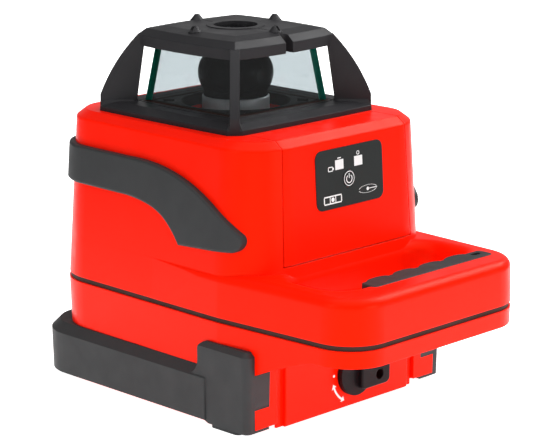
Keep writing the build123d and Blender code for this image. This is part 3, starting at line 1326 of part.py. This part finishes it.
with BuildPart() as battery_contacts:
    for side in (-1, 1):
        with BuildSketch(Plane.XZ.offset(-CELL_STARTS[0])):
            with Locations((side * CELL_X, CELL_Z)):
                Circle(9)
        extrude(amount=CELL_STARTS[0] - TRAY_FRONT_Y - TRAY_WALL)
        with BuildSketch(Plane.XZ.offset(-CELL_REAR_Y)):
            with Locations((side * CELL_X, CELL_Z)):
                Circle(8)
                Circle(6.4, mode=Mode.SUBTRACT)
        extrude(amount=-(BAY_REAR_Y - 2.8 - CELL_REAR_Y))
        with BuildSketch(Plane.XZ.offset(-CELL_REAR_Y)):
            with Locations((side * CELL_X, CELL_Z)):
                Circle(6.4)
        extrude(amount=-0.6)
save(battery_contacts, "battery_contacts")

# ================= latch =================

KNOB_BACK_Y = DOOR_FRONT_Y - GAP
WING_LONG = 23.5
WING_HALF = 10.0

with BuildPart() as latch_knob:
    with BuildSketch(Plane.XZ.offset(-KNOB_BACK_Y)):
        with Locations((KNOB_X, KNOB_Z)):
            Circle(KNOB_R)
    extrude(amount=3.2)
    with BuildSketch(Plane.XZ.offset(-KNOB_BACK_Y)):
        with Locations((KNOB_X + WING_LONG / 2, KNOB_Z)):
            RectangleRounded(WING_LONG, 2 * WING_HALF, 3.5)
    extrude(amount=6.5)
    fillet(latch_knob.faces().sort_by(Axis.Y)[0].edges(), 1.0)
    with BuildSketch(Plane.XZ.offset(-KNOB_BACK_Y)):
        with Locations((KNOB_X + 14.5, KNOB_Z - 3.5)):
            Circle(3.0)
    extrude(amount=8, mode=Mode.SUBTRACT)
    # shaft through the door to the tongue
    with BuildSketch(Plane.XZ.offset(-KNOB_BACK_Y)):
        with Locations((KNOB_X, KNOB_Z)):
            Circle(4)
    extrude(amount=KNOB_BACK_Y - TONGUE_Y)
save(latch_knob, "latch_knob")

with BuildPart() as latch_tongue:
    with BuildSketch(Plane.XZ.offset(-TONGUE_Y)):
        with Locations((KNOB_X, KNOB_Z)):
            Circle(5.5)
        with Locations((KNOB_X - (TONGUE_LONG - 1) / 2, KNOB_Z)):
            Rectangle(TONGUE_LONG - 1, 9)
    extrude(amount=-TONGUE_THICK)
save(latch_tongue, "latch_tongue")
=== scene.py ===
import json
import math

import bmesh
import bpy
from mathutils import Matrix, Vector


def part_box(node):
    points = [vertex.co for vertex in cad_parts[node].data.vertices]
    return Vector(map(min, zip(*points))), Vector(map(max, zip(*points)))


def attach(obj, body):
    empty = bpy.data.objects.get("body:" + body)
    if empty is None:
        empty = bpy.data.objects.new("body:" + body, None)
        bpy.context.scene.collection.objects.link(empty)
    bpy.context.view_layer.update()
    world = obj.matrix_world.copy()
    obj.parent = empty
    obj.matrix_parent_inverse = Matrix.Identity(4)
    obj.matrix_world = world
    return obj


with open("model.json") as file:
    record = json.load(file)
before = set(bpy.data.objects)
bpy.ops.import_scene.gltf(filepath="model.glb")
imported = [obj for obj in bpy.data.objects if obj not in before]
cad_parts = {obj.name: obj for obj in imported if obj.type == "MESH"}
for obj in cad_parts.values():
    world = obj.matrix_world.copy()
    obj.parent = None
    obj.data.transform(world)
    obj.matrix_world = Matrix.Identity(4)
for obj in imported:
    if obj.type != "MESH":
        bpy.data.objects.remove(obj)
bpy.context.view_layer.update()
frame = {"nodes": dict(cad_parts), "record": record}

MM = 0.001
nodes = frame["nodes"]


# ---------------- shader helpers ----------------

class Shader:
    """A node material under construction: a Principled shader and short calls that add nodes to it."""

    def __init__(self, name, **sockets):
        self.material = bpy.data.materials.new(name)
        self.material.use_nodes = True
        self.tree = self.material.node_tree
        self.surface = self.tree.nodes["Principled BSDF"]
        self.place = self.add("ShaderNodeTexCoord").outputs["Object"]
        for socket, value in sockets.items():
            self.surface.inputs[socket.replace("_", " ")].default_value = value

    def add(self, kind, **settings):
        node = self.tree.nodes.new(kind)
        for setting, value in settings.items():
            setattr(node, setting, value)
        return node

    def link(self, start, end):
        self.tree.links.new(start, end)

    def noise(self, scale, detail=2.0, stretch=(1, 1, 1)):
        """Noise over the object, scale in cells per metre, stretched along some axes."""
        mapping = self.add("ShaderNodeMapping")
        mapping.inputs["Scale"].default_value = stretch
        self.link(self.place, mapping.inputs["Vector"])
        texture = self.add("ShaderNodeTexNoise")
        texture.inputs["Scale"].default_value = scale
        texture.inputs["Detail"].default_value = detail
        self.link(mapping.outputs["Vector"], texture.inputs["Vector"])
        return texture.outputs["Fac"]

    def ramp(self, value, stops):
        """Colours, or grey levels, between places from 0 to 1."""
        ramp = self.add("ShaderNodeValToRGB")
        for index, (at, colour) in enumerate(stops):
            if index > 1:
                ramp.color_ramp.elements.new(at)
            level = (colour,) * 3 + (1,) if isinstance(colour, float) else (*colour, 1)
            ramp.color_ramp.elements[index].position = at
            ramp.color_ramp.elements[index].color = level
        self.link(value, ramp.inputs["Fac"])
        return ramp.outputs["Color"]

    def bump(self, height, strength, distance, edge=0.0):
        """Relief in metres, over edges that look rounded to a radius."""
        node = self.add("ShaderNodeBump")
        node.inputs["Strength"].default_value = strength
        node.inputs["Distance"].default_value = distance
        self.link(height, node.inputs["Height"])
        if edge:
            rounded = self.add("ShaderNodeBevel", samples=4)
            rounded.inputs["Radius"].default_value = edge
            self.link(rounded.outputs["Normal"], node.inputs["Normal"])
        self.link(node.outputs["Normal"], self.surface.inputs["Normal"])

    def colour(self, value):
        self.link(value, self.surface.inputs["Base Color"])

    def roughness(self, value):
        self.link(value, self.surface.inputs["Roughness"])


TONE_CELLS = 40.0              # cells per metre of the cloudy tone
GLOSS_CELLS = 90.0             # cells per metre of the uneven gloss
LOW, HIGH = 0.3, 0.7           # noise levels between which a ramp runs
DULLER, GLOSSIER = 1.14, 0.88  # how far roughness strays from its middle


def moulded(name, base, rough, grain=1500.0, depth=0.00004, strength=0.25, spread=0.05, edge=0.0,
            **sockets):
    """Injection-moulded plastic or rubber: fine spark grain, cloudy tone and uneven gloss."""
    shader = Shader(name, **sockets)
    darker = tuple(part * (1 - spread) for part in base)
    lighter = tuple(min(1.0, part * (1 + spread)) for part in base)
    shader.colour(shader.ramp(shader.noise(TONE_CELLS, detail=4.0), [(LOW, darker), (HIGH, lighter)]))
    gloss = [(LOW, rough * GLOSSIER), (HIGH, min(1.0, rough * DULLER))]
    shader.roughness(shader.ramp(shader.noise(GLOSS_CELLS, detail=5.0), gloss))
    shader.bump(shader.noise(grain, detail=3.0), strength, depth, edge)
    return shader.material


def housing_plastic():
    """Orange-red ABS, satin with a soft orange gloss."""
    return moulded("housing_plastic", (0.93, 0.008, 0.0002), rough=0.34, grain=900.0, depth=0.00003,
                   strength=0.12, spread=0.03, edge=0.0009, Specular_IOR_Level=0.13,
                   Specular_Tint=(1.0, 0.5, 0.2, 1.0))


def guard_plastic():
    """Fine-textured nylon of the rotor guard."""
    return moulded("guard_plastic", (0.021, 0.0205, 0.0225), rough=0.43, grain=1800.0, depth=0.00006,
                   strength=0.5, edge=0.0008, Specular_IOR_Level=0.17)


def guard_rubber():
    """Overmoulded rubber of the bumper, the side band and the handle insert."""
    return moulded("guard_rubber", (0.027, 0.028, 0.029), rough=0.55, grain=1300.0, depth=0.00006,
                   strength=0.4, edge=0.0006, Specular_IOR_Level=0.24)


def seal_rubber():
    """Dark brown rubber of the housing gasket, the seal under the glass and the drive belt."""
    return moulded("seal_rubber", (0.038, 0.015, 0.01), rough=0.6, grain=1200.0, Specular_IOR_Level=0.2)


def keypad_film():
    """Dark film of the keypad label."""
    return moulded("keypad_film", (0.02, 0.023, 0.0225), rough=0.4, grain=2600.0, depth=0.00002,
                   strength=0.2, Specular_IOR_Level=0.12)


def knob_plastic():
    """Satin black of the latch knob."""
    return moulded("knob_plastic", (0.006, 0.0035, 0.0045), rough=0.42, grain=1500.0, edge=0.0006,
                   Specular_IOR_Level=0.12)


def rotor_black():
    """Polished black of the spinning head."""
    return moulded("rotor_black", (0.002, 0.002, 0.0024), rough=0.22, grain=600.0, strength=0.03,
                   Specular_IOR_Level=0.05)


def turned_metal(name, base, rough):
    """Metal turned on a lathe: fine rings round the rotor's axis."""
    shader = Shader(name, Metallic=1.0)
    darker = tuple(part * 0.9 for part in base)
    shader.colour(shader.ramp(shader.noise(60.0, detail=4.0), [(LOW, darker), (HIGH, base)]))
    rings = shader.noise(120.0, detail=3.0, stretch=(1, 1, 60))
    shader.roughness(shader.ramp(rings, [(0.2, rough * 0.7), (0.8, rough * 1.3)]))
    shader.bump(rings, strength=0.2, distance=0.00002)
    return shader.material


def glass(name, tint, rough=0.02):
    """Clear pane with a faint cloud of tint and a few dull spots."""
    shader = Shader(name, Transmission_Weight=1.0, IOR=1.45, Specular_IOR_Level=0.03)
    darker = tuple(part * 0.97 for part in tint)
    shader.colour(shader.ramp(shader.noise(25.0, detail=3.0), [(LOW, darker), (HIGH, tint)]))
    shader.roughness(shader.ramp(shader.noise(300.0, detail=4.0), [(0.4, rough), (0.8, rough * 2.5)]))
    return shader.material


MATERIALS = {
    "housing_plastic": housing_plastic(),
    "guard_plastic": guard_plastic(),
    "guard_rubber": guard_rubber(),
    "seal_rubber": seal_rubber(),
    "tinted_glass": glass("tinted_glass", (0.575, 0.613, 0.625)),
    "clear_glass": glass("clear_glass", (0.9, 0.95, 0.95)),
    "keypad_film": keypad_film(),
    "status_lens": moulded("status_lens", (0.72, 0.73, 0.73), rough=0.25, grain=500.0, strength=0.05),
    "button_plastic": moulded("button_plastic", (0.02, 0.022, 0.022), rough=0.35, Specular_IOR_Level=0.15),
    "knob_plastic": knob_plastic(),
    "rotor_black": rotor_black(),
    "bare_aluminium": turned_metal("bare_aluminium", (0.92, 0.92, 0.93), rough=0.55),
    "steel": turned_metal("steel", (0.55, 0.55, 0.56), rough=0.3),
    "brass": turned_metal("brass", (0.75, 0.55, 0.22), rough=0.28),
    "circuit_board": moulded("circuit_board", (0.01, 0.12, 0.04), rough=0.4),
    "chip_black": moulded("chip_black", (0.015, 0.015, 0.015), rough=0.45),
    "tray_plastic": moulded("tray_plastic", (0.03, 0.03, 0.032), rough=0.5),
    "cell_jacket": moulded("cell_jacket", (0.1, 0.12, 0.14), rough=0.3),
}
WHITE_INK = moulded("white_ink", (0.8, 0.81, 0.81), rough=0.45, grain=2400.0)
YELLOW_INK = moulded("yellow_ink", (0.8, 0.5, 0.12), rough=0.45, grain=2400.0)
GREEN_EDGE = moulded("green_glass_edge", (0.012, 0.4, 0.28), rough=0.3, grain=700.0, strength=0.1)


def finish_cad_nodes():
    """Every CAD node takes its record material's shader, and the panes are green where they meet."""
    for row in frame["record"]["subparts"]:
        mesh = nodes[row["node"]].data
        mesh.materials.clear()
        mesh.materials.append(MATERIALS[row["material_slot"]])
        if row["material_slot"] == "tinted_glass":
            mesh.materials.append(GREEN_EDGE)
            for face in mesh.polygons:
                x, y, z = face.normal
                upright = abs(z) < 0.5
                diagonal = abs(abs(x) - abs(y)) < 0.2
                face.material_index = int(upright and diagonal)


# ---------------- printed marks ----------------

INK = 0.04 * MM                # thickness of the ink
HAIR = 0.02 * MM               # how far it starts inside the surface
ARC_STEP = 8                   # degrees between the corners of an arc, at most


class Print:
    """Marks raised from a plane by the ink's thickness, drawn in millimetres across and up from a point."""

    def __init__(self, name, origin, across, up, ink):
        self.mesh = bmesh.new()
        self.name = name
        self.ink = ink
        self.origin = Vector(origin)
        self.across = Vector(across)
        self.up = Vector(up)
        self.out = self.across.cross(self.up)

    def place(self, x, y, lift):
        return self.origin + self.across * x * MM + self.up * y * MM + self.out * lift

    def patch(self, points):
        """A filled outline, anticlockwise."""
        rings = []
        for lift in (-HAIR, INK):
            rings.append([self.mesh.verts.new(self.place(x, y, lift)) for x, y in points])
        self.mesh.faces.new(list(reversed(rings[0])))
        self.mesh.faces.new(rings[1])
        count = len(points)
        for here in range(count):
            ahead = (here + 1) % count
            self.mesh.faces.new([rings[0][here], rings[0][ahead], rings[1][ahead], rings[1][here]])

    def disc(self, x, y, radius, steps=28):
        turns = [math.tau * step / steps for step in range(steps)]
        self.patch([(x + radius * math.cos(turn), y + radius * math.sin(turn)) for turn in turns])

    def arc(self, x, y, radius, width, start=0.0, end=360.0, squash=1.0):
        """Part of a ring, in degrees, anticlockwise from the right, flattened by squash."""
        steps = max(6, int(abs(end - start) / ARC_STEP))
        inside, outside = radius - width / 2, radius + width / 2
        for step in range(steps):
            first, last = (math.radians(start + (end - start) * at / steps) for at in (step, step + 1))
            corners = [(first, inside), (first, outside), (last, outside), (last, inside)]
            self.patch([(x + reach * math.cos(turn), y + squash * reach * math.sin(turn))
                        for turn, reach in corners])

    def line(self, x0, y0, x1, y1, width):
        side = Vector((y0 - y1, x1 - x0)).normalized() * width / 2
        self.patch([(x0 - side.x, y0 - side.y), (x1 - side.x, y1 - side.y),
                    (x1 + side.x, y1 + side.y), (x0 + side.x, y0 + side.y)])

    def frame(self, x, y, wide, tall, width):
        """Outline of a rectangle round a middle."""
        left, right, low, high = x - wide / 2, x + wide / 2, y - tall / 2, y + tall / 2
        self.line(left, low, right, low, width)
        self.line(left, high, right, high, width)
        self.line(left, low + width / 2, left, high - width / 2, width)
        self.line(right, low + width / 2, right, high - width / 2, width)

    def finish(self, body):
        mesh = bpy.data.meshes.new(self.name)
        self.mesh.to_mesh(mesh)
        self.mesh.free()
        piece = bpy.data.objects.new(self.name, mesh)
        bpy.context.scene.collection.objects.link(piece)
        mesh.materials.append(self.ink)
        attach(piece, body)


DRAFT = math.radians(3.6)      # lean of the front wall
ACROSS = (1, 0, 0)
UP = (0, 0, 1)
UP_WALL = (0, math.sin(DRAFT), math.cos(DRAFT))

# middles of the label's marks, in millimetres from its own middle
BATTERY_AT = (-15.2, 5.6)
DASH_AT = (-8.05, 10.9)
RING_AT = (7.0, 11.6)
VIAL_AT = (-14.2, -11.3)
BEAM_AT = (14.0, -9.6)


def wall_print(name, node, half, ink):
    """Marks on the sloping front face of a node, measured from that face's middle, half way up it."""
    low, high = (Vector(corner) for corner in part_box(node))
    middle = ((low.x + high.x) / 2, low.y + half * math.sin(DRAFT), high.z - half * math.cos(DRAFT))
    return Print(name, middle, ACROSS, UP_WALL, ink)


def label_height():
    low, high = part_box("keypad_label")
    return (high[2] - low[2]) / math.cos(DRAFT)


def button_radius():
    low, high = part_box("power_button")
    return (high[0] - low[0]) / 2


def battery_icon(marks, x, y):
    """Outline of a battery with its terminal at the right."""
    wide, tall = 3.4, 2.2
    terminal = x + wide / 2 + 0.3
    marks.frame(x, y, wide, tall, width=0.45)
    marks.line(terminal, y, terminal + 0.6, y, width=1.2)


def vial_icon(marks, x, y):
    """Level vial: a tube with two gauge lines and the bubble between them."""
    wide, tall = 13.6, 4.0
    gauge, reach, bubble = 2.2, 1.7, 1.25
    marks.frame(x, y, wide, tall, width=0.7)
    for side in (-gauge, gauge):
        marks.line(x + side, y - reach, x + side, y + reach, width=0.5)
    marks.disc(x, y, bubble)


def beam_icon(marks, x, y):
    """Beam that turns in a plane: a flat ring, open at both sides, round a spot with one ray."""
    radius, flat, gap, spot = 7.2, 0.3, 15.0, 1.0
    for start in (0.0, 180.0):
        marks.arc(x, y, radius, 0.5, start + gap, start + 180.0 - gap, squash=flat)
    marks.disc(x, y, spot)
    marks.line(x, y, x + radius + 0.4, y, width=0.4)


def window_captions(marks):
    """A short dash over the left window and a ring over the right one."""
    x, y = DASH_AT
    half = 1.35
    marks.line(x - half, y, x + half, y, width=0.55)
    marks.arc(*RING_AT, radius=0.95, width=0.35)


def label_marks():
    """Icons by the two windows, and the two generic marks at the label's foot."""
    marks = wall_print("label_marks", "keypad_label", label_height() / 2, WHITE_INK)
    battery_icon(marks, *BATTERY_AT)
    window_captions(marks)
    vial_icon(marks, *VIAL_AT)
    beam_icon(marks, *BEAM_AT)
    marks.finish("housing")


def button_marks():
    """Ring round the power button and its symbol: a ring open at the top, with a bar in the gap."""
    ring, symbol, drop, gap = 3.95, 2.2, 0.2, 35.0
    bar_low, bar_high = 0.2, 2.9
    marks = wall_print("button_marks", "power_button", button_radius(), WHITE_INK)
    marks.arc(0, 0, ring, width=0.36)
    marks.arc(0, -drop, symbol, 0.5, 90.0 + gap, 450.0 - gap)
    marks.line(0, bar_low, 0, bar_high, width=0.5)
    marks.finish("power_button")


def latch_middle():
    """Where the knob's axis meets the door's face."""
    door_low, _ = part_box("battery_door")
    low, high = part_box("latch_knob")
    radius = (high.z - low.z) / 2
    return low.x + radius, door_low.y, (low.z + high.z) / 2


def arrow_head(marks, radius, turn, ahead):
    """Head of an arrow along an arc: from its foot at one angle to its tip some degrees ahead."""
    half = 1.9
    tip, foot = math.radians(turn + ahead), math.radians(turn)
    points = [(radius * math.cos(tip), radius * math.sin(tip)),
              ((radius + half) * math.cos(foot), (radius + half) * math.sin(foot)),
              ((radius - half) * math.cos(foot), (radius - half) * math.sin(foot))]
    marks.patch(points if ahead < 0 else list(reversed(points)))


def door_marks():
    """Double arrow and white dot beside the latch knob, and a yellow dot on the door behind the knob."""
    radius, start, end, head = 17.2, 203.0, 236.0, 8.0
    marks = Print("latch_arrow", latch_middle(), ACROSS, UP, WHITE_INK)
    marks.arc(0, 0, radius, 1.2, start, end)
    arrow_head(marks, radius, start, -head)
    arrow_head(marks, radius, end, head)
    marks.disc(-16.0, 0.4, 0.8)
    marks.finish("battery_tray")
    drop = 2.6133
    dot = Print("latch_dot", latch_middle(), ACROSS, UP, YELLOW_INK)
    dot.disc(0, -drop, 0.7)
    dot.finish("battery_tray")


finish_cad_nodes()
label_marks()
button_marks()
door_marks()


# ---------------- studio ----------------

FLOOR_HALF = 9.0               # metres from the middle of the floor to its sides
ROLL_TURN = math.radians(45)   # the roll of paper runs along the camera's direction
PAPER_HALF = 0.42              # half the width of the paper
PAPER_FADE = 0.66              # where its light has faded out, from the roll's middle
PAPER_WHITE, FLOOR_GREY = 0.86, 0.3
SURROUNDINGS = 0.22            # strength of the light from all round


def light_table():
    """Roll of white paper lit from below, which runs away from the camera over a grey floor."""
    shader = Shader("light_table", Roughness=0.9, Specular_IOR_Level=0.1)
    across = shader.add("ShaderNodeMapping")
    across.inputs["Rotation"].default_value = (0, 0, ROLL_TURN)
    across.inputs["Scale"].default_value = (0.5, 0.5, 0.5)
    across.inputs["Location"].default_value = (0.5, 0, 0)
    shader.link(shader.place, across.inputs["Vector"])
    place = shader.add("ShaderNodeTexGradient", gradient_type="LINEAR")
    shader.link(across.outputs["Vector"], place.inputs["Vector"])

    def from_paper(on_it, beyond):
        """A grey level on the paper that fades to another beyond both of its edges."""
        edges = [(-PAPER_FADE, beyond), (-PAPER_HALF, on_it), (PAPER_HALF, on_it), (PAPER_FADE, beyond)]
        return shader.ramp(place.outputs["Fac"], [((1 + at) / 2, level) for at, level in edges])

    shader.colour(from_paper(PAPER_WHITE, FLOOR_GREY))
    shader.link(from_paper(1.0, 0.0), shader.surface.inputs["Emission Color"])
    shader.surface.inputs["Emission Strength"].default_value = 1.0
    shader.bump(shader.noise(400.0, detail=3.0), strength=0.1, distance=0.0001)
    return shader.material


def studio():
    """White paper on a grey floor, in even white surroundings."""
    floor_mesh = bpy.data.meshes.new("floor")
    signs = [(-1, -1), (1, -1), (1, 1), (-1, 1)]
    corners = [(FLOOR_HALF * x, FLOOR_HALF * y, 0) for x, y in signs]
    floor_mesh.from_pydata(corners, [], [(0, 1, 2, 3)])
    floor = bpy.data.objects.new("floor", floor_mesh)
    bpy.context.scene.collection.objects.link(floor)
    floor_mesh.materials.append(light_table())
    world = bpy.data.worlds.new("surroundings")
    bpy.context.scene.world = world
    world.use_nodes = True
    background = world.node_tree.nodes["Background"]
    background.inputs["Color"].default_value = (1, 1, 1, 1)
    background.inputs["Strength"].default_value = SURROUNDINGS


def softbox(name, place, aim, size, watts):
    """Rectangular soft light turned towards a point."""
    data = bpy.data.lights.new(name, "AREA")
    data.shape = "RECTANGLE"
    data.size, data.size_y = size
    data.energy = watts
    light = bpy.data.objects.new(name, data)
    light.location = place
    light.rotation_euler = (Vector(aim) - Vector(place)).to_track_quat("-Z", "Y").to_euler()
    bpy.context.scene.collection.objects.link(light)


def overhead(strength, spread, lean):
    """A very wide soft light from nearly straight above, which lights the floor evenly to the horizon."""
    data = bpy.data.lights.new("overhead", "SUN")
    data.energy = strength
    data.angle = math.radians(spread)
    light = bpy.data.objects.new("overhead", data)
    light.rotation_euler = [math.radians(turn) for turn in lean]
    bpy.context.scene.collection.objects.link(light)


CAMERA_PLACE = (-0.88354, -0.90010, 0.40206)
CAMERA_DIRECTION = (0.69286, 0.68041, -0.23871)
CAMERA_LENS = 146.5            # focal length in millimetres
SENSOR_WIDE = 36.0


def camera():
    """Long lens on the object's front left corner, a little above it."""
    data = bpy.data.cameras.new("camera")
    data.sensor_width = SENSOR_WIDE
    data.lens = CAMERA_LENS
    thing = bpy.data.objects.new("camera", data)
    thing.location = CAMERA_PLACE
    thing.rotation_euler = Vector(CAMERA_DIRECTION).to_track_quat("-Z", "Y").to_euler()
    bpy.context.scene.collection.objects.link(thing)
    bpy.context.scene.camera = thing


studio()
softbox("key", place=(-2.2, 0.2, 0.9), aim=(0, 0, 0.1), size=(0.7, 1.4), watts=10.0)
softbox("fill", place=(0.3, -2.2, 0.35), aim=(0, 0, 0.05), size=(0.9, 0.6), watts=12.0)
softbox("gloss", place=(1.5, -0.5, 1.55), aim=(0, 0, 0.15), size=(1.3, 1.3), watts=34.0)
softbox("sheen", place=(1.9, 1.9, 0.75), aim=(0, 0, 0.15), size=(3.4, 1.3), watts=3.0)
overhead(strength=2.0, spread=75, lean=(12, -10, 0))
camera()
bpy.context.scene.view_settings.view_transform = "Standard"
